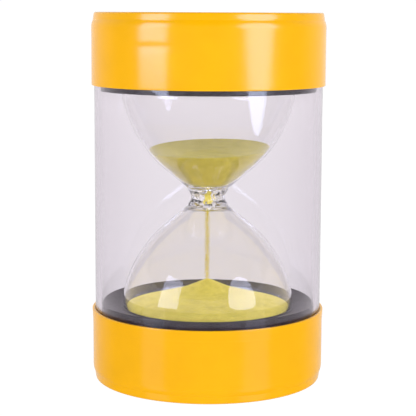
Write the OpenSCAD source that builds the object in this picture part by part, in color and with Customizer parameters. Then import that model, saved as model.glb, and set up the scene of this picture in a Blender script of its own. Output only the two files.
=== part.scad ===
// Large tumble-proof sand timer. A blown glass vessel with two bulbs sits between black foam
// discs inside a clear plastic barrel, and two soft moulded caps close the barrel's ends.
// The origin is at the centre of the bottom cap's outer face, and the axis is +Z.

/* [Timer] */
// Overall height, from one cap's outer face to the other
timer_h = 158; // [150:1:170]
// Flow hole through the thick glass neck
neck_bore_d = 2.4; // [1.6:0.1:3.2]

/* [End caps] */
// Outer diameter of a cap's skirt
cap_d = 100; // [99.8:0.1:102]
// Height of a cap, from its outer face to its open rim
cap_h = 30.8; // [28:0.2:36]
// Thickness of the cap's closed end
cap_end_t = 3; // [2:0.5:4]
// How far the skirt narrows in radius towards the closed end
cap_taper = 1.2; // [0:0.1:1.8]
// Height of the narrowing stretch
cap_taper_h = 7; // [5:0.5:7.5]
// Round on the edge of the closed end
cap_edge_r = 1; // [0.5:0.1:1.5]
// How far the bottom cap's stretched rim flares in radius
rim_flare = 0.3; // [0:0.1:0.6]
// Depth of the shallow panel moulded into the closed end
panel_depth = 0.6; // [0.2:0.1:1]
// Diameter of that panel
panel_d = 76; // [60:1:84]

/* [Barrel] */
// Outer diameter of the clear barrel
barrel_d = 97.8; // [97:0.1:97.8]
// Wall thickness of the barrel
barrel_wall = 2.5; // [2:0.1:2.7]
// Thickness of the glue bead under each end of the barrel
glue_t = 0.6; // [0.3:0.1:1]

/* [Glass bulbs] */
// Largest outer diameter of a bulb
bulb_d = 74; // [68:1:76]
// Height of a bulb's widest circle above or below the middle of the neck
bulb_reach = 44; // [44:0.5:46]
// Radius of the shoulder where a bulb turns in to its flat end
shoulder_r = 12; // [11:0.5:13]
// Radius of the long curve along a bulb's side
side_r = 54; // [54:1:56]
// Outer diameter of the neck
neck_d = 15.4; // [15:0.2:16]
// Radius of the fillet between the neck and each bulb's cone
fillet_r = 6; // [5:0.5:6]
// Wall thickness of the bulbs
glass_wall = 1.3; // [1:0.1:1.8]
// Diameter of the filling hole in the top bulb's end
fill_hole_d = 10; // [8:0.5:12]

/* [Foam] */
// Height of the foam face at the barrel, above the bottom face
foam_top = 33.4; // [32:0.2:34]
// How far the foam face dips where the bulb presses into it
foam_dip = 1.6; // [0.5:0.1:2]
// Diameter of the round hole cut in each foam collar
collar_hole_d = 62; // [60:1:64]

/* [Sand] */
// Level of the sand in the top bulb, above the bottom face
upper_sand_z = 100; // [95:1:110]
// Height where the lower heap meets the glass
heap_foot_z = 31; // [29:0.5:33]
// Height of the lower heap's peak
heap_peak_z = 42.3; // [40:0.1:46]

/* [Hidden] */
$fn = 120;
arc_steps = 10;     // straight steps along each curved stretch of a profile
contact_gap = 0.1;  // clearance between pieces that sit against each other
slip_gap = 0.05;    // radial clearance between barrel and cap
cap_r = cap_d / 2;
barrel_r = barrel_d / 2;
barrel_bore_r = barrel_r - barrel_wall;
seat_z = cap_taper_h;                // ledge inside a cap that the barrel is glued to
ledge_w = 4.9;                       // width of that ledge
ledge_bore_r = barrel_r + slip_gap - ledge_w;
rim_h = 5;                           // height of the flared stretch of the rim
mid_z = timer_h / 2;
bulb_r = bulb_d / 2;
bulb_end = bulb_reach + shoulder_r;  // flat end, measured from the middle of the neck
end_flat_r = bulb_r - shoulder_r;
shoulder_turn = 13;                  // where the shoulder hands over to the long side curve
cone_turn = 51.5;                    // where the side curve hands over to the straight cone
side_centre = [
    end_flat_r - (side_r - shoulder_r) * cos(shoulder_turn),
    bulb_reach + (side_r - shoulder_r) * sin(shoulder_turn)
];
neck_r = neck_d / 2;
fillet_start_r = neck_r + fillet_r * (1 - cos(cone_turn));
cone_start = side_centre + side_r * [cos(cone_turn), -sin(cone_turn)];
cone_drop = (cone_start[0] - fillet_start_r) / tan(cone_turn);
fillet_d = cone_start[1] - cone_drop - fillet_r * sin(cone_turn);
bore_r = neck_bore_d / 2;
funnel_r = 8;                        // inner radius where the funnel's wall thickens
funnel_d = 5.2;                      // that place, from the middle of the neck
bore_mouth_d = 3.6;                  // end of the straight bore, from the middle of the neck
fill_hole_r = fill_hole_d / 2;
collar_hole_r = collar_hole_d / 2;
foam_pad_r = ledge_bore_r - contact_gap;
foam_collar_r = barrel_bore_r - 2 * contact_gap;
pad_top = mid_z - bulb_end - contact_gap;
plug_flange_r = 7.5;
plug_flange_t = 1.5;
plug_stem_h = 4;
plug_pocket_r = plug_flange_r + 0.5;
plug_pocket_h = plug_flange_t + 0.4;
stream_top_r = 1.1;
stream_low_r = 0.6;
stream_top_z = mid_z - bore_mouth_d;

// Points along a circle in a profile, from one angle to another.
function arc(centre, r, from, to) = [
    for (i = [0:arc_steps])
        let (a = from + (to - from) * i / arc_steps)
        centre + r * [cos(a), sin(a)]
];

// Side of one bulb, from its flat end in towards the neck, a given depth inside the glass.
// Heights are measured from the middle of the neck.
function bulb_side(depth) = concat(
    arc([end_flat_r, bulb_reach], shoulder_r - depth, 90, -shoulder_turn),
    arc(side_centre, side_r - depth, -shoulder_turn - 1, -cone_turn)
);

// Neck end of a bulb's outer surface: the fillet from the cone into the neck.
function neck_fillet() =
    arc([neck_r + fillet_r, fillet_d], fillet_r, 180 - cone_turn, 180);

// Copies a piece of the bottom half to the top half, upside down.
module at_top() {
    translate([0, 0, timer_h])
        mirror([0, 0, 1])
            children();
}

// Profile of the solid glass that fills one bulb and its half of the neck.
module bulb_outline() {
    polygon(concat([[0, bulb_end]], bulb_side(0), neck_fillet(), [[neck_r, 0], [0, 0]]));
}

// Profile of the space inside one bulb, down to the mouth of the bore.
module bulb_space(clearance) {
    wall = glass_wall + clearance;
    polygon(concat(
        [[0, bulb_end - wall]],
        bulb_side(wall),
        [[funnel_r - clearance, funnel_d + clearance],
         [bore_r - clearance, bore_mouth_d + clearance],
         [0, bore_mouth_d + clearance]]
    ));
}

// Profile of everything above a height measured from the middle of the neck.
module above(height) {
    translate([0, height])
        square([bulb_d, bulb_end]);
}

module cap(flare) {
    edge_r = cap_r - cap_taper;
    rotate_extrude()
        difference() {
            polygon(concat(
                [[0, 0]],
                arc([edge_r - cap_edge_r, cap_edge_r], cap_edge_r, -90, 0),
                [[cap_r, cap_taper_h], [cap_r, cap_h - rim_h], [cap_r + flare, cap_h], [0, cap_h]]
            ));
            translate([0, seat_z])
                square([barrel_r + slip_gap, cap_h]);
            translate([0, cap_end_t])
                square([ledge_bore_r, cap_h]);
            square([panel_d / 2, panel_depth]);
        }
}

module glue_ring() {
    rotate_extrude()
        translate([barrel_bore_r, seat_z])
            square([barrel_wall, glue_t]);
}

// Foam disc under a bulb's flat end. A pocket clears the head of the filling plug.
module foam_pad(pocket_h) {
    difference() {
        translate([0, 0, cap_end_t])
            cylinder(r = foam_pad_r, h = pad_top - cap_end_t);
        translate([0, 0, pad_top - pocket_h])
            cylinder(r = plug_pocket_r, h = pocket_h + 1);
    }
}

// Foam ring around a bulb's shoulder, pressed into a shallow dish by the glass.
module foam_collar() {
    rotate_extrude()
        difference() {
            polygon([
                [collar_hole_r, pad_top],
                [foam_collar_r, pad_top],
                [foam_collar_r, foam_top],
                [end_flat_r + shoulder_r - 1, foam_top - foam_dip],
                [collar_hole_r, foam_top - foam_dip]
            ]);
            translate([end_flat_r, mid_z - bulb_reach])
                circle(r = shoulder_r + contact_gap);
        }
}

module bottom_cap() {
    color("gold") cap(rim_flare);
}

module top_cap() {
    color("gold") at_top() cap(0);
}

module lower_glue_ring() {
    color("antiquewhite") glue_ring();
}

module upper_glue_ring() {
    color("antiquewhite") at_top() glue_ring();
}

module barrel() {
    end_z = seat_z + glue_t;
    color("lavender", 0.3)
        translate([0, 0, end_z])
            difference() {
                cylinder(r = barrel_r, h = timer_h - 2 * end_z);
                translate([0, 0, -1])
                    cylinder(r = barrel_bore_r, h = timer_h - 2 * end_z + 2);
            }
}

module lower_foam_pad() {
    color("dimgray") foam_pad(0);
}

module upper_foam_pad() {
    color("dimgray") at_top() foam_pad(plug_pocket_h);
}

module lower_foam_collar() {
    color("dimgray") foam_collar();
}

module upper_foam_collar() {
    color("dimgray") at_top() foam_collar();
}

// One piece of glass: both bulbs, fused at a thick neck with a narrow bore.
module glass_vessel() {
    color("gainsboro", 0.4)
        translate([0, 0, mid_z])
            difference() {
                for (side = [0, 1])
                    mirror([0, 0, side])
                        rotate_extrude()
                            difference() {
                                bulb_outline();
                                bulb_space(0);
                            }
                translate([0, 0, -funnel_d])
                    cylinder(r = bore_r, h = 2 * funnel_d);
                translate([0, 0, bulb_end - 2 * glass_wall])
                    cylinder(r = fill_hole_r, h = 3 * glass_wall);
            }
}

// Rubber stopper pressed into the filling hole, with its head under the foam.
module filling_plug() {
    color("silver")
        translate([0, 0, mid_z + bulb_end + contact_gap / 2]) {
            cylinder(r = plug_flange_r, h = plug_flange_t);
            translate([0, 0, -plug_stem_h])
                cylinder(r = fill_hole_r - slip_gap, h = plug_stem_h + slip_gap);
        }
}

// Sand still to run: it fills the funnel and the bore.
module upper_sand() {
    tip_z = stream_top_z;
    color("darkkhaki") {
        translate([0, 0, mid_z])
            rotate_extrude()
                difference() {
                    bulb_space(contact_gap);
                    above(upper_sand_z - mid_z);
                }
        translate([0, 0, tip_z])
            cylinder(r = bore_r - contact_gap, h = mid_z + funnel_d - tip_z);
    }
}

// Falling thread of sand, from the end of the bore to the heap.
module sand_stream() {
    color("khaki")
        rotate_extrude()
            polygon([
                [0, heap_peak_z + contact_gap],
                [stream_low_r, heap_peak_z + contact_gap],
                [stream_top_r, stream_top_z - contact_gap],
                [0, stream_top_z - contact_gap]
            ]);
}

// Sand that has run through: a low cone on the bottom bulb's flat end.
module lower_sand() {
    color("khaki")
        rotate_extrude()
            intersection() {
                translate([0, mid_z])
                    mirror([0, 1])
                        bulb_space(contact_gap);
                polygon([
                    [0, 0],
                    [bulb_r, 0],
                    [bulb_r, heap_foot_z],
                    [0, heap_peak_z]
                ]);
            }
}

bottom_cap();
top_cap();
lower_glue_ring();
upper_glue_ring();
barrel();
lower_foam_pad();
upper_foam_pad();
lower_foam_collar();
upper_foam_collar();
glass_vessel();
filling_plug();
upper_sand();
sand_stream();
lower_sand();
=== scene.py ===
import math
import random

import bpy
from mathutils import Matrix, Vector, noise


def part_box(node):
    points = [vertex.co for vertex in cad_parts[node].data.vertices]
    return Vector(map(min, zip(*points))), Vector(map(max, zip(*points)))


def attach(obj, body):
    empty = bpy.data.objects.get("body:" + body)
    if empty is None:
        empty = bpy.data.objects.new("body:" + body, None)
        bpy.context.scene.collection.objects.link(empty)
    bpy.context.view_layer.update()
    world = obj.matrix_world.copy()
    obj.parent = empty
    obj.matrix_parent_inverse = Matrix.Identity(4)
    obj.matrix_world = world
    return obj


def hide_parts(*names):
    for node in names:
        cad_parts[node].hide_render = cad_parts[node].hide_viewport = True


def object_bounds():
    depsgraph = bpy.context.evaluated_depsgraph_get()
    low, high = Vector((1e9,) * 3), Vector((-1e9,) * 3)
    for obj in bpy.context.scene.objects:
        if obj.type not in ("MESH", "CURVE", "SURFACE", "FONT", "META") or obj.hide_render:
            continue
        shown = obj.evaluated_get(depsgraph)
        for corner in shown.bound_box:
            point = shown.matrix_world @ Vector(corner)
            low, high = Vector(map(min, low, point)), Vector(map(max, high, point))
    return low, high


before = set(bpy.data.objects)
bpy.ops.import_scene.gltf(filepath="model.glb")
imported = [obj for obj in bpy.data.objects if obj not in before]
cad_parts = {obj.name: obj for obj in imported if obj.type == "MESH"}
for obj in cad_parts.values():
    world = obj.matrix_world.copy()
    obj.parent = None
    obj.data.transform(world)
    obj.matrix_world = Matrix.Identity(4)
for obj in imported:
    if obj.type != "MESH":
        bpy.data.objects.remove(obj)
cad_low, cad_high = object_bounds()

MM = 0.001


# ---------------------------------------------------------------- places read from the frame

def radii(node):
    """Smallest and largest distance from the axis of a CAD node's points."""
    spans = [math.hypot(v.co.x, v.co.y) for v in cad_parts[node].data.vertices]
    return min(spans), max(spans)


def heights(node):
    """Lowest and highest point of a CAD node."""
    low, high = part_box(node)
    return low.z, high.z


HEIGHT = cad_high.z
MIDDLE = HEIGHT / 2
CAP_R = radii("top_cap")[1]
RIM_R = radii("bottom_cap")[1]       # the bottom cap's rim flares a little
CAP_H = heights("bottom_cap")[1]
TUBE_IN_R, TUBE_R = radii("barrel")
TUBE_LOW, TUBE_HIGH = heights("barrel")
PAD_R = radii("lower_foam_pad")[1]
PAD_LOW, PAD_HIGH = heights("lower_foam_pad")
COLLAR_HOLE_R, COLLAR_R = radii("lower_foam_collar")
COLLAR_LOW, COLLAR_HIGH = heights("lower_foam_collar")
BULB_R = radii("glass_vessel")[1]
BULB_END = heights("glass_vessel")[1] - MIDDLE
PLUG_R = radii("filling_plug")[1]
PLUG_LOW, PLUG_HIGH = heights("filling_plug")
HEAP_PEAK = heights("lower_sand")[1]
STREAM_LOW, STREAM_HIGH = heights("sand_stream")


# ---------------------------------------------------------------- outlines in (radius, height)

FILLET_STEPS = 5           # straight pieces in each rounded corner
NEARLY_STRAIGHT = 1.5705   # half of a corner's angle in radians, above which it needs no fillet
SUPPORT = 0.2 * MM         # distance from a fillet's end to its support point
SHORTEST = 0.05 * MM       # a stretch no longer than this gets no points of its own


def arc(centre, radius, start, end, steps):
    """Points on a circle, from one angle in degrees to another."""
    points = []
    for i in range(steps + 1):
        angle = math.radians(start + (end - start) * i / steps)
        points.append((centre[0] + radius * math.cos(angle), centre[1] + radius * math.sin(angle)))
    return points


def flowing(points, steps):
    """A smooth curve through points (Catmull-Rom)."""
    curve = []
    last = len(points) - 1
    for i in range(last):
        p0, p1, p2, p3 = (points[min(max(k, 0), last)] for k in (i - 1, i, i + 1, i + 2))
        for s in range(steps):
            t = s / steps
            curve.append(tuple(
                0.5 * (2 * b + (c - a) * t + (2 * a - 5 * b + 4 * c - d) * t * t
                       + (3 * b - a - 3 * c + d) * t ** 3)
                for a, b, c, d in zip(p0, p1, p2, p3)))
    curve.append(points[last])
    return curve


def rounded_corner(before, corner, after, fillet):
    """The arc that rounds a corner between its two neighbours, or the corner itself."""
    towards_before = (before - corner).normalized()
    towards_after = (after - corner).normalized()
    half = towards_before.angle(towards_after) / 2
    if half > NEARLY_STRAIGHT:
        return [corner]
    centre = corner + (towards_before + towards_after).normalized() * fillet / math.sin(half)
    first = corner + towards_before * fillet / math.tan(half) - centre
    last = corner + towards_after * fillet / math.tan(half) - centre
    swing = first.angle_signed(last)
    return [centre + Matrix.Rotation(-swing * s / FILLET_STEPS, 2) @ first
            for s in range(FILLET_STEPS + 1)]


def straight(start, end, pitch):
    """Points along a straight stretch, one pitch apart, with a support point close to each end, which
    keeps a flat face flat."""
    length = (end - start).length
    if length <= SHORTEST:
        return []
    support = min(SUPPORT, length / 4)
    pieces = max(1, round((length - 2 * support) / pitch))
    stops = [support + (length - 2 * support) * k / pieces for k in range(pieces + 1)]
    return [start.lerp(end, s / length) for s in stops]


def rounded(corners, pitch=2 * MM, closed=True):
    """An outline through corners, each (radius, height, fillet), with a point about every pitch."""
    count = len(corners)
    spots = [Vector(corner[:2]) for corner in corners]
    fillets = []
    for i in range(count):
        fillet = corners[i][2]
        open_end = not closed and i in (0, count - 1)
        if fillet == 0 or open_end:
            fillets.append([spots[i]])
        else:
            fillets.append(rounded_corner(spots[i - 1], spots[i], spots[(i + 1) % count], fillet))
    outline = []
    for i in range(count):
        outline += fillets[i]
        if closed or i < count - 1:
            outline += straight(fillets[i][-1], fillets[(i + 1) % count][0], pitch)
    return [(max(spot.x, 0.0), spot.y) for spot in outline]


def flipped(outline):
    """The same outline at the timer's other end, run the other way so that it still faces outwards."""
    return [(r, HEIGHT - z) for r, z in reversed(outline)]


# ---------------------------------------------------------------- meshes

SEGMENTS = 224             # steps round the axis on most round pieces
ON_AXIS = 1e-6             # an outline's point closer to the axis than this is a pole


def add_piece(name, points, faces):
    """A smooth-shaded object made of these points and faces."""
    mesh = bpy.data.meshes.new(name)
    mesh.from_pydata(points, [], faces)
    mesh.polygons.foreach_set("use_smooth", [True] * len(faces))
    piece = bpy.data.objects.new(name, mesh)
    bpy.context.scene.collection.objects.link(piece)
    return piece


def skin(rings, closed=False):
    """Points and faces of a surface through rings. A ring of one point is a pole, and a closed surface
    joins its last ring to its first."""
    points = []
    starts = []
    for ring in rings:
        starts.append(len(points))
        points += ring
    pairs = list(zip(range(len(rings) - 1), range(1, len(rings))))
    if closed:
        pairs.append((len(rings) - 1, 0))
    faces = []
    for low, high in pairs:
        a, b = starts[low], starts[high]
        size = max(len(rings[low]), len(rings[high]))
        for k in range(size):
            n = (k + 1) % size
            if len(rings[low]) == 1:
                faces.append((a, b + n, b + k))
            elif len(rings[high]) == 1:
                faces.append((a + k, a + n, b))
            else:
                faces.append((a + k, a + n, b + n, b + k))
    return points, faces


def turn(name, outline, shift=None, closed=False, segments=SEGMENTS):
    """A piece turned about the axis. The outline runs with the solid on its left, so that its faces
    look outwards. shift(point) returns where a point goes instead, and gives the piece its waves."""
    rings = []
    for r, z in outline:
        if r < ON_AXIS:
            rings.append([(0, 0, z)])
            continue
        ring = []
        for k in range(segments):
            angle = 2 * math.pi * k / segments
            point = Vector((r * math.cos(angle), r * math.sin(angle), z))
            ring.append(tuple(shift(point) if shift else point))
        rings.append(ring)
    return add_piece(name, *skin(rings, closed))


def radial_wave(size, depth, seed):
    """A soft wave across a surface: points move to or from the axis by up to depth. Each seed has
    its own waves."""
    offset = Vector((seed, seed * 1.7, seed * 2.3))

    def move(point):
        push = noise.noise(point / size + offset) * depth
        reach = math.hypot(point.x, point.y)
        return Vector((point.x * (1 + push / reach), point.y * (1 + push / reach), point.z))

    return move


def place(piece, material, node):
    """The piece rides with the timer, takes a material and its slot, and stands for its CAD node."""
    piece.data.materials.append(material)
    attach(piece, "root")
    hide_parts(node)


# ---------------------------------------------------------------- materials

NOISE_LOW, NOISE_HIGH = 0.3, 0.7     # nearly all values of a noise texture lie between these


def shader(name):
    """A new material's nodes, links and Principled shader."""
    material = bpy.data.materials.new(name)
    material.use_nodes = True
    nodes = material.node_tree.nodes
    return material, nodes, material.node_tree.links, nodes["Principled BSDF"]


def object_coordinates(nodes, links, stretch=(1, 1, 1)):
    """Coordinates in metres, scaled along each axis."""
    source = nodes.new("ShaderNodeTexCoord")
    mapping = nodes.new("ShaderNodeMapping")
    mapping.inputs["Scale"].default_value = stretch
    links.new(source.outputs["Object"], mapping.inputs["Vector"])
    return mapping.outputs["Vector"]


def noise_texture(nodes, links, vector, size, detail=3.0):
    """Cloudy noise whose features are about size metres across."""
    texture = nodes.new("ShaderNodeTexNoise")
    texture.inputs["Scale"].default_value = 1 / size
    texture.inputs["Detail"].default_value = detail
    links.new(vector, texture.inputs["Vector"])
    return texture.outputs["Fac"]


def cell_texture(nodes, links, vector, size):
    """Cells about size metres across: distance from each cell's centre, and a colour for each cell."""
    texture = nodes.new("ShaderNodeTexVoronoi")
    texture.inputs["Scale"].default_value = 1 / size
    links.new(vector, texture.inputs["Vector"])
    return texture.outputs


def blend_colours(nodes, links, factor, dark, light):
    """A colour that runs from dark to light as a noise goes from its low to its high."""
    ramp = nodes.new("ShaderNodeValToRGB")
    ramp.color_ramp.elements[0].position = NOISE_LOW
    ramp.color_ramp.elements[0].color = (*dark, 1)
    ramp.color_ramp.elements[1].position = NOISE_HIGH
    ramp.color_ramp.elements[1].color = (*light, 1)
    links.new(factor, ramp.inputs["Fac"])
    return ramp.outputs["Color"]


def spread(nodes, links, value, low, high):
    """A noise stretched to the range from low to high."""
    node = nodes.new("ShaderNodeMapRange")
    node.inputs["From Min"].default_value = NOISE_LOW
    node.inputs["From Max"].default_value = NOISE_HIGH
    node.inputs["To Min"].default_value = low
    node.inputs["To Max"].default_value = high
    links.new(value, node.inputs["Value"])
    return node.outputs["Result"]


def bump(nodes, links, height, depth, after=None):
    """A bump of that real depth in metres, on top of another."""
    node = nodes.new("ShaderNodeBump")
    node.inputs["Distance"].default_value = depth
    node.inputs["Strength"].default_value = 1.0
    links.new(height, node.inputs["Height"])
    if after is not None:
        links.new(after, node.inputs["Normal"])
    return node.outputs["Normal"]


def cap_vinyl():
    """Soft glossy yellow vinyl with a faint moulded grain and cloudy pigment."""
    material, nodes, links, surface = shader("cap_vinyl")
    here = object_coordinates(nodes, links)
    clouds = noise_texture(nodes, links, here, 14 * MM)
    grain = noise_texture(nodes, links, here, 0.7 * MM, 2.0)
    swell = noise_texture(nodes, links, here, 5 * MM, 1.0)
    colour = blend_colours(nodes, links, clouds, (0.84, 0.390, 0.0), (0.89, 0.414, 0.0))
    links.new(colour, surface.inputs["Base Color"])
    links.new(spread(nodes, links, grain, 0.15, 0.21), surface.inputs["Roughness"])
    surface.inputs["IOR"].default_value = 1.6
    surface.inputs["Specular Tint"].default_value = (1.0, 0.70, 0.78, 1)
    soft = bump(nodes, links, swell, 0.02 * MM)
    links.new(bump(nodes, links, grain, 0.003 * MM, after=soft), surface.inputs["Normal"])
    return material


def barrel_acrylic():
    """Clear extruded acrylic with a lavender tint and faint draw lines along its length."""
    material, nodes, links, surface = shader("barrel_acrylic")
    along = object_coordinates(nodes, links, (1, 1, 0.04))
    lines = noise_texture(nodes, links, along, 1.2 * MM, 2.0)
    waves = noise_texture(nodes, links, along, 12 * MM, 1.0)
    surface.inputs["Base Color"].default_value = (1, 1, 1, 1)
    surface.inputs["Transmission Weight"].default_value = 1.0
    surface.inputs["IOR"].default_value = 1.49
    surface.inputs["Specular Tint"].default_value = (0.75, 0.75, 0.75, 1)
    links.new(spread(nodes, links, lines, 0.0, 0.012), surface.inputs["Roughness"])
    soft = bump(nodes, links, waves, 0.004 * MM)
    links.new(bump(nodes, links, lines, 0.0004 * MM, after=soft), surface.inputs["Normal"])
    tint = nodes.new("ShaderNodeVolumeAbsorption")
    tint.inputs["Color"].default_value = (0.77, 0.708, 0.77, 1)
    tint.inputs["Density"].default_value = 205
    links.new(tint.outputs["Volume"], nodes["Material Output"].inputs["Volume"])
    return material


def bulb_glass():
    """Clear blown glass, with slow waves and a trace of haze in patches."""
    material, nodes, links, surface = shader("bulb_glass")
    here = object_coordinates(nodes, links)
    waves = noise_texture(nodes, links, here, 16 * MM, 1.0)
    haze = noise_texture(nodes, links, here, 6 * MM)
    surface.inputs["Base Color"].default_value = (0.985, 0.98, 0.98, 1)
    surface.inputs["Transmission Weight"].default_value = 1.0
    surface.inputs["IOR"].default_value = 1.47
    surface.inputs["Specular Tint"].default_value = (0.8, 0.8, 0.8, 1)
    links.new(spread(nodes, links, haze, 0.0, 0.01), surface.inputs["Roughness"])
    links.new(bump(nodes, links, waves, 0.02 * MM), surface.inputs["Normal"])
    return material


def foam():
    """Black closed-cell foam with a faint sheen: small cells stand out on its skin, and its black is
    a little greyer in patches."""
    material, nodes, links, surface = shader("foam")
    here = object_coordinates(nodes, links)
    cells = cell_texture(nodes, links, here, 0.6 * MM)
    mottle = noise_texture(nodes, links, here, 4 * MM)
    colour = blend_colours(nodes, links, mottle, (0.016, 0.010, 0.011), (0.034, 0.024, 0.026))
    links.new(colour, surface.inputs["Base Color"])
    surface.inputs["Roughness"].default_value = 0.33
    surface.inputs["IOR"].default_value = 1.5
    soft = bump(nodes, links, mottle, 0.1 * MM)
    links.new(bump(nodes, links, cells["Distance"], 0.05 * MM, after=soft), surface.inputs["Normal"])
    return material


def sand():
    """Fine dyed sand: each grain has its own shade of yellow-green, and the surface looks paler at a
    glancing angle."""
    material, nodes, links, surface = shader("sand")
    here = object_coordinates(nodes, links)
    grain_cells = cell_texture(nodes, links, here, 0.28 * MM)
    patches = noise_texture(nodes, links, here, 5 * MM)
    chance = nodes.new("ShaderNodeSeparateColor")
    links.new(grain_cells["Color"], chance.inputs["Color"])
    shade = nodes.new("ShaderNodeMath")
    shade.operation = "MULTIPLY_ADD"
    shade.inputs[1].default_value = 0.45
    links.new(chance.outputs["Red"], shade.inputs[0])
    links.new(spread(nodes, links, patches, 0.15, 0.4), shade.inputs[2])
    dark, light = (0.65, 0.49, 0.030), (0.92, 0.73, 0.088)
    colour = blend_colours(nodes, links, shade.outputs["Value"], dark, light)
    links.new(colour, surface.inputs["Base Color"])
    surface.inputs["Roughness"].default_value = 0.85
    surface.inputs["IOR"].default_value = 1.3
    surface.inputs["Sheen Weight"].default_value = 0.28
    surface.inputs["Sheen Roughness"].default_value = 0.4
    surface.inputs["Sheen Tint"].default_value = (1.0, 0.95, 0.6, 1)
    links.new(bump(nodes, links, grain_cells["Distance"], 0.12 * MM), surface.inputs["Normal"])
    return material


def plug_rubber():
    """Grey rubber with a fine moulded grain."""
    material, nodes, links, surface = shader("plug_rubber")
    here = object_coordinates(nodes, links)
    grain = noise_texture(nodes, links, here, 0.5 * MM)
    colour = blend_colours(nodes, links, grain, (0.22, 0.22, 0.23), (0.32, 0.32, 0.33))
    links.new(colour, surface.inputs["Base Color"])
    surface.inputs["Roughness"].default_value = 0.6
    links.new(bump(nodes, links, grain, 0.02 * MM), surface.inputs["Normal"])
    return material


def glue():
    """Dried glue, cloudy, with small ripples."""
    material, nodes, links, surface = shader("glue")
    here = object_coordinates(nodes, links)
    ripples = noise_texture(nodes, links, here, 2 * MM)
    colour = blend_colours(nodes, links, ripples, (0.70, 0.62, 0.45), (0.86, 0.80, 0.66))
    links.new(colour, surface.inputs["Base Color"])
    surface.inputs["Roughness"].default_value = 0.3
    links.new(bump(nodes, links, ripples, 0.1 * MM), surface.inputs["Normal"])
    return material


VINYL = cap_vinyl()
ACRYLIC = barrel_acrylic()
GLASS = bulb_glass()
FOAM = foam()
SAND = sand()
RUBBER = plug_rubber()
GLUE = glue()


# ---------------------------------------------------------------- end caps

TAPER = 1.2 * MM           # how far the skirt narrows towards the closed end
TAPER_H = 5 * MM           # height above the closed end at which it is full width
TAPER_BEND_R = 7 * MM
EDGE_R = 0.9 * MM
GROOVE_H = 2.9 * MM        # moulding line between the end disc and the skirt
GROOVE_HALF_H = 0.35 * MM
GROOVE_INSET = 0.75 * MM   # how far the tapered skirt has narrowed at the groove
GROOVE_DEPTH = 0.05 * MM   # on the top cap; it is all but gone on the bottom one
PANEL_R = 38 * MM          # shallow panel in the closed end
PANEL_DEPTH = 0.6 * MM
PANEL_EDGE = 0.4 * MM
RIM_H = 5 * MM             # stretch of the bottom cap's skirt that flares
RIM_BEND_R = 3 * MM
LIP_R = 0.35 * MM
LEDGE_H = 7 * MM           # height of the inner ledge that carries the barrel's end
END_T = 3 * MM             # thickness of the closed end
SKIRT_GAP = 0.05 * MM      # air between the skirt and the barrel
PAD_GAP = 0.1 * MM         # and between the ledge and the foam disc

DENT_SIDE = -28            # the dent's place, in degrees to the right of the front
DENT_WIDTH = 16            # its half width in degrees
DENT_Z = HEIGHT - 13.8 * MM
DENT_HALF_H = 1.6 * MM
DENT_DEPTH = 0.15 * MM


def cap_outline(rim_r, groove):
    """A cap standing on its closed end, from the panel's middle round to the middle of the inside."""
    skirt_in_r = TUBE_R + SKIRT_GAP
    ledge_r = PAD_R + PAD_GAP
    crisp = 0.3 * MM
    groove_r = CAP_R - GROOVE_INSET
    return rounded([
        (0, PANEL_DEPTH, 0),
        (PANEL_R - PANEL_EDGE, PANEL_DEPTH, crisp),
        (PANEL_R, 0, crisp),
        (CAP_R - TAPER, 0, EDGE_R),
        (groove_r - 0.05 * MM, GROOVE_H - GROOVE_HALF_H, 0.15 * MM),
        (groove_r - groove, GROOVE_H, 0.12 * MM),
        (groove_r + 0.05 * MM, GROOVE_H + GROOVE_HALF_H, 0.15 * MM),
        (CAP_R, TAPER_H, TAPER_BEND_R),
        (CAP_R, CAP_H - RIM_H, RIM_BEND_R),
        (rim_r, CAP_H, LIP_R),
        (skirt_in_r, CAP_H, LIP_R),
        (skirt_in_r, LEDGE_H, 0.1 * MM),
        (ledge_r, LEDGE_H, crisp),
        (ledge_r, END_T, crisp),
        (0, END_T, 0),
    ], pitch=0.8 * MM, closed=False)


def uneven(seed):
    """The slow waves in a cap's moulded surface."""
    return radial_wave(24 * MM, 0.05 * MM, seed)


def dented(point):
    """The top cap has a shallow dent at the front left, on top of its slow waves."""
    moved = uneven(8)(point)
    side = math.degrees(math.atan2(point.x, -point.y))
    across = math.exp(-((side - DENT_SIDE) / DENT_WIDTH) ** 2)
    along = math.exp(-((point.z - DENT_Z) / DENT_HALF_H) ** 2)
    push = DENT_DEPTH * across * along / CAP_R
    return Vector((moved.x * (1 - push), moved.y * (1 - push), moved.z))


def end_caps():
    """Both caps: one moulding, apart from the bottom one's flared rim and faint groove."""
    bottom = turn("bottom_cap_shell", cap_outline(RIM_R, GROOVE_DEPTH / 20), uneven(3))
    place(bottom, VINYL, "bottom_cap")
    top = turn("top_cap_shell", flipped(cap_outline(CAP_R, GROOVE_DEPTH)), dented)
    place(top, VINYL, "top_cap")


# ---------------------------------------------------------------- barrel and glue

TUBE_CHAMFER = 0.25 * MM


def barrel():
    """The clear tube. It casts no shadow, because clear plastic lets the light through."""
    outline = rounded([
        (TUBE_R, TUBE_LOW, TUBE_CHAMFER),
        (TUBE_R, TUBE_HIGH, TUBE_CHAMFER),
        (TUBE_IN_R, TUBE_HIGH, TUBE_CHAMFER),
        (TUBE_IN_R, TUBE_LOW, TUBE_CHAMFER),
    ], pitch=6 * MM)
    tube = turn("barrel_tube", outline, closed=True)
    tube.visible_shadow = False
    place(tube, ACRYLIC, "barrel")


def glue_beads():
    """The two glue rings keep their own shape and get their material."""
    for node in ("lower_glue_ring", "upper_glue_ring"):
        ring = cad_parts[node]
        ring.data.materials.clear()
        ring.data.materials.append(GLUE)


# ---------------------------------------------------------------- foam

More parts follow.
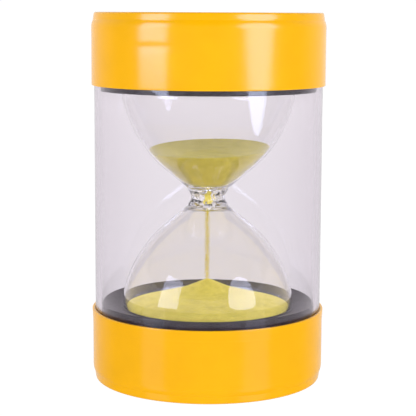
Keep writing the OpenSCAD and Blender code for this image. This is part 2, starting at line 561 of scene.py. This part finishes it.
PAD_EDGE_R = 0.8 * MM
POCKET_R = 8 * MM          # pocket in the upper disc for the filling plug's head
POCKET_DEPTH = 1.9 * MM
SHOULDER_R = 12 * MM       # radius of the bulb's rounded shoulder
SHOULDER_MID = BULB_R - SHOULDER_R   # distance of that arc's centre from the axis
BULB_REACH = BULB_END - SHOULDER_R   # and its height from the middle of the neck
SEAT_GAP = 0.12 * MM       # air between the shoulder and the foam pressed round it
DISH_DEPTH = 2.2 * MM      # how far the collar's face lies below its rim
DISH_EDGE_H = 0.5 * MM     # the dish's floor rises this far where it meets the bulb
DISH_EDGE_W = 0.9 * MM     # over this width
LOWER_RIM_RISE = 0.6 * MM  # the rims stand proud or short of the CAD collar's face
UPPER_RIM_RISE = -0.3 * MM
LUMP_SIZE = 3 * MM
LUMP_HEIGHT = 0.08 * MM


def place_foam(piece, node):
    """A piece of foam takes the foam material, rides with the timer and stands for its CAD node."""
    place(piece, FOAM, node)


def foam_discs():
    """The disc under the vessel, and the one over it with a pocket for the plug's head."""
    plain = rounded([
        (0, PAD_LOW, 0),
        (PAD_R, PAD_LOW, PAD_EDGE_R),
        (PAD_R, PAD_HIGH, PAD_EDGE_R),
        (0, PAD_HIGH, 0),
    ], closed=False)
    place_foam(turn("lower_foam_disc", plain), "lower_foam_pad")
    pocketed = rounded([
        (0, PAD_LOW, 0),
        (PAD_R, PAD_LOW, PAD_EDGE_R),
        (PAD_R, PAD_HIGH, PAD_EDGE_R),
        (POCKET_R, PAD_HIGH, 0.3 * MM),
        (POCKET_R, PAD_HIGH - POCKET_DEPTH, 0.3 * MM),
        (0, PAD_HIGH - POCKET_DEPTH, 0),
    ], closed=False)
    place_foam(turn("upper_foam_disc", flipped(pocketed)), "upper_foam_pad")


def collar_outline(rise):
    """A ring pressed into a dish by the bulb's shoulder, its rim that much above the CAD collar's."""
    press_r = SHOULDER_R + SEAT_GAP
    centre_z = MIDDLE - BULB_REACH
    dish_z = COLLAR_HIGH - DISH_DEPTH
    low_angle = -math.degrees(math.acos((COLLAR_HOLE_R - SHOULDER_MID) / press_r))
    high_angle = -math.degrees(math.asin((centre_z - dish_z - DISH_EDGE_H) / press_r))
    seat = arc((SHOULDER_MID, centre_z), press_r, high_angle, low_angle, 20)
    outline = rounded([
        (COLLAR_HOLE_R, COLLAR_LOW, 0.3 * MM),
        (COLLAR_R, COLLAR_LOW, 0.6 * MM),
        (COLLAR_R, COLLAR_HIGH + rise, 0.4 * MM),
        (seat[0][0] + DISH_EDGE_W, dish_z, 0.8 * MM),
        (*seat[0], 0),
        (*seat[-1], 0),
    ], pitch=0.8 * MM)
    start = min(range(len(outline)), key=lambda i: math.dist(outline[i], seat[0]))
    end = min(range(len(outline)), key=lambda i: math.dist(outline[i], seat[-1]))
    return outline[:start] + seat + outline[end + 1:]


def lumpy(point):
    """Cut foam is never quite flat."""
    return point + Vector((0, 0, noise.noise(point / LUMP_SIZE) * LUMP_HEIGHT))


def foam_collars():
    """The rings that hold the bulbs' shoulders."""
    lower = turn("lower_foam_ring", collar_outline(LOWER_RIM_RISE), lumpy, closed=True)
    place_foam(lower, "lower_foam_collar")
    upper = turn("upper_foam_ring", flipped(collar_outline(UPPER_RIM_RISE)), lumpy, closed=True)
    place_foam(upper, "upper_foam_collar")


# ---------------------------------------------------------------- glass vessel

GLASS_T = 0.9 * MM
VESSEL_SEGMENTS = 208
SIDE_R = 54 * MM           # radius of the arc down a bulb's side
SHOULDER_TURN = 13         # degrees below level at which the shoulder gives way to the side
CONE_TURN = 51.5           # and at which the side gives way to the neck
SIDE_CENTRE = (
    SHOULDER_MID - (SIDE_R - SHOULDER_R) * math.cos(math.radians(SHOULDER_TURN)),
    BULB_REACH + (SIDE_R - SHOULDER_R) * math.sin(math.radians(SHOULDER_TURN)),
)
NECK_R = 7.3 * MM
NECK_BORE_R = 1.5 * MM
FILL_HOLE_R = 5 * MM
PLUG_GAP = 0.1 * MM        # air between the plug's stem and the hole
FLANGE_GAP = 0.05 * MM     # and between its flange and the glass

WAVE_SIZE = 30 * MM        # slow waves all over the glass
WAVE_HEIGHT = 0.06 * MM
RIPPLE_SIZE = 1.3 * MM     # tight ones round the outside of the neck
RIPPLE_HEIGHT = 0.42 * MM
RIPPLE_REACH = 4 * MM      # height over which they die away
RIPPLE_FREE_R = 6.5 * MM   # and radius inside which the bore and its sand are spared them


def bulb_side(depth):
    """One bulb from its flat end to the start of the cone, that depth inside the glass."""
    shoulder = arc((SHOULDER_MID, BULB_REACH), SHOULDER_R - depth, 90, -SHOULDER_TURN, 24)
    side = arc(SIDE_CENTRE, SIDE_R - depth, -SHOULDER_TURN, -CONE_TURN, 36)
    return shoulder + side[1:]


def end_face(radius, height):
    """Evenly spaced points along a bulb's flat end, from the given radius out to the shoulder."""
    steps = 8
    return [(radius + (SHOULDER_MID - radius) * k / steps, height) for k in range(steps)]


def outer_half():
    """Outer surface of one half, from the shoulder to the middle of the neck."""
    side = bulb_side(0)
    neck = [
        side[-1],
        (10.0 * MM, 4.9 * MM),
        (8.6 * MM, 3.9 * MM),
        (8.5 * MM, 3.0 * MM),
        (7.8 * MM, 1.9 * MM),
        (NECK_R, 0.8 * MM),
        (NECK_R, 0),
    ]
    return side[:-1] + flowing(neck, 8)


def inner_half():
    """Inner surface of one half, from the shoulder through the funnel to the middle of the bore."""
    side = bulb_side(GLASS_T)
    funnel = [
        side[-1],
        (9.9 * MM, 6.0 * MM),
        (7.0 * MM, 5.0 * MM),
        (3.4 * MM, 3.9 * MM),
        (1.9 * MM, 2.6 * MM),
        (NECK_BORE_R, 1.2 * MM),
        (NECK_BORE_R, 0),
    ]
    return side[:-1] + flowing(funnel, 8)


def raised(outline):
    """A half's outline as the top half."""
    return [(r, MIDDLE + z) for r, z in outline]


def lowered(outline):
    """A half's outline as the bottom half."""
    return [(r, MIDDLE - z) for r, z in outline]


def hand_worked(point):
    """Slow waves all over the glass, and tight ones round the neck, where the bulbs were joined."""
    moved = radial_wave(WAVE_SIZE, WAVE_HEIGHT, 5)(point)
    reach = math.hypot(point.x, point.y)
    if reach < RIPPLE_FREE_R:
        return moved
    near_neck = math.exp(-((point.z - MIDDLE) / RIPPLE_REACH) ** 2)
    push = RIPPLE_HEIGHT * near_neck * noise.noise(point / RIPPLE_SIZE) / reach
    return Vector((moved.x * (1 + push), moved.y * (1 + push), moved.z))


def glass_vessel():
    """Both bulbs and the neck in one closed wall: up the outside, over the filling hole's lip, and
    down the inside. It casts no shadow, because clear glass lets the light through."""
    lip_r = GLASS_T / 2
    lip_centre = (FILL_HOLE_R + lip_r, MIDDLE + BULB_END - lip_r)
    lip = arc(lip_centre, lip_r, 90, 270, 8)
    outside_low = lowered(end_face(0, BULB_END) + outer_half())
    outside_high = raised(end_face(lip_centre[0], BULB_END)[1:] + outer_half())
    inside_high = raised(end_face(lip_centre[0], BULB_END - GLASS_T)[1:] + inner_half())
    inside_low = lowered(end_face(0, BULB_END - GLASS_T) + inner_half())
    outline = outside_low + outside_high[::-1][1:] + lip + inside_high + inside_low[::-1][1:]
    vessel = turn("hourglass_vessel", outline, hand_worked, segments=VESSEL_SEGMENTS)
    vessel.visible_shadow = False
    place(vessel, GLASS, "glass_vessel")


def filling_plug():
    """The rubber stopper in the top bulb's filling hole."""
    seat_z = MIDDLE + BULB_END + FLANGE_GAP
    stem_r = FILL_HOLE_R - PLUG_GAP
    outline = rounded([
        (0, PLUG_LOW, 0),
        (stem_r - 0.3 * MM, PLUG_LOW, 0.5 * MM),
        (stem_r, seat_z, 0.1 * MM),
        (PLUG_R, seat_z, 0.3 * MM),
        (PLUG_R, PLUG_HIGH, 0.5 * MM),
        (0, PLUG_HIGH, 0),
    ], pitch=1 * MM, closed=False)
    stopper = turn("filling_stopper", outline, segments=96)
    place(stopper, RUBBER, "filling_plug")


# ---------------------------------------------------------------- sand in the bulbs

SAND_GAP = 0.05 * MM       # air between the sand and the glass
FUNNEL_GAP = 0.07 * MM     # and where the glass narrows down to the bore
SAND_SEGMENTS = 288
SAND_ANGLES = [2 * math.pi * k / SAND_SEGMENTS for k in range(SAND_SEGMENTS)]
GRAIN_SIZE = 0.55 * MM
CLUMP_SIZE = 2.6 * MM
INNER_WALL = inner_half()


def inner_radius(height):
    """Radius of the glass's inner surface at a height from the middle of the neck."""
    for (r0, z0), (r1, z1) in zip(INNER_WALL, INNER_WALL[1:]):
        if z1 <= height <= z0:
            return r1 + (r0 - r1) * (height - z1) / max(z0 - z1, 1e-9)
    return 0.0


def grains(point, depth):
    """How far a grain at this point stands above or below the mean surface."""
    fine = noise.noise(point / GRAIN_SIZE)
    coarse = noise.noise(point / CLUMP_SIZE)
    return depth * (0.7 * fine + 0.3 * coarse)


def bedded(x, y, z):
    """A point of the sand, carried along with the glass's own waves so that it never cuts them."""
    return tuple(hand_worked(Vector((x, y, z)))) if x or y else (x, y, z)


def level_ring(r, z):
    """A level ring of the sand's points."""
    return [bedded(r * math.cos(angle), r * math.sin(angle), z) for angle in SAND_ANGLES]


UPPER_LEVEL = 100 * MM
UPPER_RISE_RIGHT = 0.026   # slope of the upper sand's surface towards +X
UPPER_RISE_BACK = 0.058    # and towards +Y
UPPER_DISH = 1.2 * MM      # how far its middle has sunk
UPPER_TOP_RINGS = 64
UPPER_SIDE_RINGS = 84
UPPER_GRAINS = 0.12 * MM
WALL_GRAINS = 0.1 * MM     # how far the grains against the glass stand back from it
WALL_GRAIN_SIZE = 0.5 * MM
THINNEST_R = 0.6 * MM


def upper_rim(angle):
    """Radius and height where the upper sand's surface meets the glass."""
    r = 25 * MM            # a first guess, which four steps make exact
    for _ in range(4):
        z = UPPER_LEVEL + r * (UPPER_RISE_RIGHT * math.cos(angle) + UPPER_RISE_BACK * math.sin(angle))
        r = inner_radius(z - MIDDLE) - SAND_GAP
    return r, z


def upper_top(rims):
    """Rings of the upper sand's surface, from its middle out to the glass."""
    rings = []
    for i in range(UPPER_TOP_RINGS + 1):
        share = i / UPPER_TOP_RINGS
        ring = []
        for angle, (rim_r, _) in zip(SAND_ANGLES, rims):
            x, y = share * rim_r * math.cos(angle), share * rim_r * math.sin(angle)
            z = UPPER_LEVEL + UPPER_RISE_RIGHT * x + UPPER_RISE_BACK * y
            z -= UPPER_DISH * (1 - share ** 2) ** 2
            z += grains(Vector((x, y, z)), UPPER_GRAINS) * (1 - share ** 8)
            ring.append(bedded(x, y, z))
        rings.append(ring if i else ring[:1])
    return rings


def upper_side(rims, low):
    """Rings of the sand against the glass, from its rim down into the bore."""
    rings = []
    for i in range(1, UPPER_SIDE_RINGS + 1):
        ring = []
        for angle, (rim_r, rim_z) in zip(SAND_ANGLES, rims):
            z = rim_z + (low - rim_z) * (i / UPPER_SIDE_RINGS)
            wall_r = inner_radius(max(z - MIDDLE, 0))
            r = max(wall_r - FUNNEL_GAP, THINNEST_R)
            spot = Vector((r * math.cos(angle), r * math.sin(angle), z))
            stand_back = min(0.4 * r, WALL_GRAINS)
            r -= stand_back * (0.5 + 0.5 * noise.noise(spot / WALL_GRAIN_SIZE))
            ring.append(bedded(r * math.cos(angle), r * math.sin(angle), z))
        rings.append(ring)
    return rings


def upper_sand():
    """The sand still in the top bulb: a sunken, slightly sloping surface over a cone in the glass."""
    rims = [upper_rim(angle) for angle in SAND_ANGLES]
    low = STREAM_HIGH + 0.1 * MM
    rings = upper_top(rims) + upper_side(rims, low) + [[(0, 0, low)]]
    load = add_piece("sand_upper", *skin(rings[::-1]))
    place(load, SAND, "upper_sand")


HEAP_STEEP = 0.445         # slope of the fresh cone in the middle
HEAP_GENTLE = 0.245        # slope of the bed around it
HEAP_KNEE = 10.5 * MM      # radius where one gives way to the other
KNEE_WIDTH = 1.6 * MM
TIP_R = 0.9 * MM
HEAP_CROWN = 0.6 * MM      # the middle of the heap stands this much higher than its CAD cone
CROWN_R = 31 * MM
HEAP_TOP_RINGS = 96
HEAP_SIDE_RINGS = 24
HEAP_FLOOR_RINGS = 6
HEAP_GRAINS = 0.13 * MM


def heap_height(r):
    """Height of the lower heap's surface."""
    run = math.hypot(r, TIP_R) - TIP_R
    eased = KNEE_WIDTH * math.log1p(math.exp((run - HEAP_KNEE) / KNEE_WIDTH))
    crown = HEAP_CROWN * max(0.0, 1 - (r / CROWN_R) ** 2)
    return HEAP_PEAK + crown - HEAP_STEEP * run + (HEAP_STEEP - HEAP_GENTLE) * eased


def heap_top(rim_r):
    """Rings of the heap's surface, from its tip out to the glass."""
    rings = []
    for i in range(HEAP_TOP_RINGS + 1):
        share = i / HEAP_TOP_RINGS
        ring = []
        for angle in SAND_ANGLES:
            x, y = share * rim_r * math.cos(angle), share * rim_r * math.sin(angle)
            z = heap_height(share * rim_r)
            z += grains(Vector((x, y, 0)), HEAP_GRAINS) * (1 - share ** 10)
            ring.append(bedded(x, y, z))
        rings.append(ring if i else ring[:1])
    return rings


def heap_underside(rim_r):
    """Rings of the heap against the glass, down from its rim and in along the bulb's flat end."""
    top_z = heap_height(rim_r)
    floor_z = MIDDLE - BULB_END + GLASS_T + SAND_GAP
    rings = []
    for i in range(1, HEAP_SIDE_RINGS + 1):
        z = top_z + (floor_z - top_z) * math.sin(math.pi / 2 * i / HEAP_SIDE_RINGS)
        wall_r = inner_radius(MIDDLE - z) - SAND_GAP
        rings.append(level_ring(wall_r, z))
    for i in range(1, HEAP_FLOOR_RINGS):
        rings.append(level_ring(wall_r * (1 - i / HEAP_FLOOR_RINGS), floor_z))
    rings.append([(0, 0, floor_z)])
    return rings


def lower_sand():
    """The heap in the bottom bulb."""
    rim_r = 34.5 * MM      # a first guess, which four steps make exact
    for _ in range(4):
        rim_r = inner_radius(MIDDLE - heap_height(rim_r)) - SAND_GAP
    rings = heap_top(rim_r) + heap_underside(rim_r)
    heap = add_piece("sand_heap", *skin(rings[::-1]))
    place(heap, SAND, "lower_sand")


# ---------------------------------------------------------------- falling thread of sand

THREAD_CORE_R = 0.12 * MM
THREAD_R = 1.15 * MM       # how far the loose grains stray from the core
THREAD_GRAINS = 2300
THREAD_GRAIN_R = 0.11 * MM
THREAD_FREE = MIDDLE - 3.2 * MM      # the thread keeps the bore's width down to here
THREAD_TAPER = 2.4 * MM    # and narrows over about this height
THREAD_X = -0.3 * MM       # it falls a little to the left of the axis
THREAD_SWAY = 0.12 * MM
SWAY_LENGTH = 9 * MM
DRIFT_HEIGHT = 6 * MM      # height below the neck's middle over which drift and sway set in
CORE_RINGS = 150
CORE_SEGMENTS = 20
CORE_LUMPS = 0.1           # unevenness of the core, as a share of its radius
CORE_LUMP_H = 0.5 * MM     # height of one lump


def thread_axis(z):
    """Where the middle of the thread is at a height: over the bore at the top, then drifting."""
    fallen = min(1.0, max(0.0, (MIDDLE - z) / DRIFT_HEIGHT))
    sway = THREAD_SWAY * fallen
    sideways = noise.noise(Vector((0, 7, z / SWAY_LENGTH)))
    forwards = noise.noise(Vector((5, 0, z / SWAY_LENGTH)))
    return THREAD_X * fallen + sideways * sway, forwards * sway


def thread_core(top, bottom):
    """Rings of the dense middle: it fills the bore at the top and narrows as it falls."""
    full_r = NECK_BORE_R - 0.2 * MM
    rings = [[(*thread_axis(bottom), bottom)]]
    for i in range(CORE_RINGS + 1):
        z = bottom + (top - bottom) * i / CORE_RINGS
        fallen = max(0.0, THREAD_FREE - z)
        mean_r = THREAD_CORE_R + (full_r - THREAD_CORE_R) * math.exp(-fallen / THREAD_TAPER)
        axis_x, axis_y = thread_axis(z)
        ring = []
        for k in range(CORE_SEGMENTS):
            angle = 2 * math.pi * k / CORE_SEGMENTS
            spot = Vector((math.cos(angle), math.sin(angle), z / CORE_LUMP_H))
            r = mean_r * (1 + CORE_LUMPS * noise.noise(spot * 1.3))
            ring.append((axis_x + r * math.cos(angle), axis_y + r * math.sin(angle), z))
        rings.append(ring)
    rings.append([(*thread_axis(top), top)])
    return rings


def loose_grain(centre, chance):
    """Corners and faces of one grain, an uneven eight-sided crumb. Its corners come in pairs along
    X, Y and Z."""
    corners = []
    for axis in range(3):
        for side in (-1, 1):
            corner = Vector(centre)
            corner[axis] += side * THREAD_GRAIN_R * chance.uniform(0.7, 1.3)
            corners.append(tuple(corner))
    faces = []
    for x in (0, 1):
        for y in (2, 3):
            for z in (4, 5):
                upright = (x + y + z) % 2 == 1
                faces.append((x, y, z) if upright else (x, z, y))
    return corners, faces


def sand_stream():
    """The falling thread: a dense core with loose grains round it."""
    points, faces = skin(thread_core(STREAM_HIGH, STREAM_LOW))
    chance = random.Random(7)
    for _ in range(THREAD_GRAINS):
        z = chance.uniform(STREAM_LOW, THREAD_FREE)
        axis_x, axis_y = thread_axis(z)
        stray = THREAD_R * math.sqrt(chance.random())
        angle = chance.uniform(0, 2 * math.pi)
        centre = (axis_x + stray * math.cos(angle), axis_y + stray * math.sin(angle), z)
        corners, sides = loose_grain(centre, chance)
        first = len(points)
        points += corners
        faces += [tuple(first + k for k in side) for side in sides]
    place(add_piece("sand_thread", points, faces), SAND, "sand_stream")


end_caps()
barrel()
glue_beads()
foam_discs()
foam_collars()
glass_vessel()
filling_plug()
upper_sand()
lower_sand()
sand_stream()


# ---------------------------------------------------------------- studio

FLOOR_R = 2.6
COVE_R = 0.5
WALL_H = 1.2
FLOOR_GAP = 0.2 * MM       # the floor lies this far below the timer, so that their faces never meet

NEUTRAL = (1, 1, 1)
COOL = (0.86, 0.98, 1.3)   # daylight, cooler than the floor and the back light
BRIGHTEST = (0, 0.88, 0.47)          # direction of the room's brightest part
DIM_UP_TO, BRIGHT_FROM = 0.1, 0.8    # cosines of the angle from it, between which the room brightens


def backdrop():
    """A pale round floor that curves up into a low wall on every side. It glows, so that it comes
    out evenly white, and it isn't seen in the pieces' gloss, which it would wash out."""
    material, nodes, links, surface = shader("pale_floor")
    surface.inputs["Base Color"].default_value = (0.05, 0.05, 0.05, 1)
    surface.inputs["Roughness"].default_value = 0.9
    surface.inputs["Specular IOR Level"].default_value = 0.0
    surface.inputs["Emission Color"].default_value = (1, 1, 1, 1)
    surface.inputs["Emission Strength"].default_value = 0.99
    outline = [(r, -FLOOR_GAP) for r in (0, 0.2, 0.6, 1.4)]
    outline += arc((FLOOR_R, COVE_R - FLOOR_GAP), COVE_R, -90, 0, 12)
    outline.append((FLOOR_R + COVE_R, WALL_H))
    floor = turn("floor", outline[::-1], segments=96)
    floor.data.materials.append(material)
    floor.visible_glossy = False


def softbox(name, side, lean, width, low, high, shape, radiance, colour=COOL, distance=1.05):
    """An upright soft light facing the timer, side degrees to the right of the camera, from one
    height to another, leaning sideways by lean degrees. Its radiance is how bright its face is. One
    behind the timer lights it, but isn't itself seen in its gloss or through it."""
    light = bpy.data.lights.new(name, "AREA")
    light.shape = shape
    light.size, light.size_y = width, high - low
    area = width * (high - low) * (math.pi / 4 if shape == "ELLIPSE" else 1)
    light.energy = radiance * math.pi * area
    light.color = colour
    lamp = bpy.data.objects.new(name, light)
    lamp.matrix_world = (
        Matrix.Rotation(math.radians(side), 4, "Z")
        @ Matrix.Translation((0, -distance, (low + high) / 2))
        @ Matrix.Rotation(math.radians(90), 4, "X")
        @ Matrix.Rotation(math.radians(lean), 4, "Z")
    )
    in_front = abs(side) < 90
    lamp.visible_camera = False
    lamp.visible_transmission = in_front
    lamp.visible_glossy = in_front
    bpy.context.scene.collection.objects.link(lamp)


def lights():
    """Two soft lights at the front, their dim images in a shiny table top, and one behind."""
    softbox("softbox_left", -53.5, -2, 0.54, 0.068, 0.76, "RECTANGLE", 5.4)
    softbox("softbox_right", 48.5, -5, 0.76, 0.020, 0.820, "ELLIPSE", 5.4)
    softbox("left_in_floor", -53.5, 2, 0.44, -0.76, -0.16, "RECTANGLE", 0.6)
    softbox("right_in_floor", 48.5, 5, 0.62, -0.82, -0.12, "ELLIPSE", 0.6)
    softbox("back_light", 180, 0, 2.8, 0.30, 1.12, "RECTANGLE", 9.8, colour=NEUTRAL, distance=2.1)


def surroundings(dim, bright):
    """A dim room that brightens towards the back and upwards."""
    world = bpy.data.worlds.new("studio")
    bpy.context.scene.world = world
    world.use_nodes = True
    nodes, links = world.node_tree.nodes, world.node_tree.links
    direction = nodes.new("ShaderNodeTexCoord")
    towards = nodes.new("ShaderNodeVectorMath")
    towards.operation = "DOT_PRODUCT"
    towards.inputs[1].default_value = BRIGHTEST
    links.new(direction.outputs["Generated"], towards.inputs[0])
    level = nodes.new("ShaderNodeMapRange")
    level.inputs["From Min"].default_value = DIM_UP_TO
    level.inputs["From Max"].default_value = BRIGHT_FROM
    level.inputs["To Min"].default_value = dim
    level.inputs["To Max"].default_value = bright
    links.new(towards.outputs["Value"], level.inputs["Value"])
    background = nodes["Background"]
    background.inputs["Color"].default_value = (1, 1, 1, 1)
    links.new(level.outputs["Result"], background.inputs["Strength"])


def camera():
    """At the top cap's height, a little over half a metre away, looking slightly down."""
    eye = (0, -0.5926, 0.1578)
    tilt_down, roll = 8.06, 0.26
    lens = bpy.data.cameras.new("camera")
    lens.sensor_width = 36
    lens.lens = 119.3
    lens.clip_start, lens.clip_end = 0.05, 20
    view = bpy.data.objects.new("camera", lens)
    view.matrix_world = (
        Matrix.Translation(eye)
        @ Matrix.Rotation(math.radians(90 - tilt_down), 4, "X")
        @ Matrix.Rotation(math.radians(roll), 4, "Z")
    )
    bpy.context.scene.collection.objects.link(view)
    bpy.context.scene.camera = view


def light_paths():
    """Plain colours, and enough bounces for light to pass all the walls of plastic and glass."""
    scene = bpy.context.scene
    scene.view_settings.view_transform = "Standard"
    scene.cycles.max_bounces = 24
    scene.cycles.transmission_bounces = 24
    scene.cycles.diffuse_bounces = 4
    scene.cycles.glossy_bounces = 8


backdrop()
lights()
surroundings(dim=0.06, bright=0.8)
camera()
light_paths()
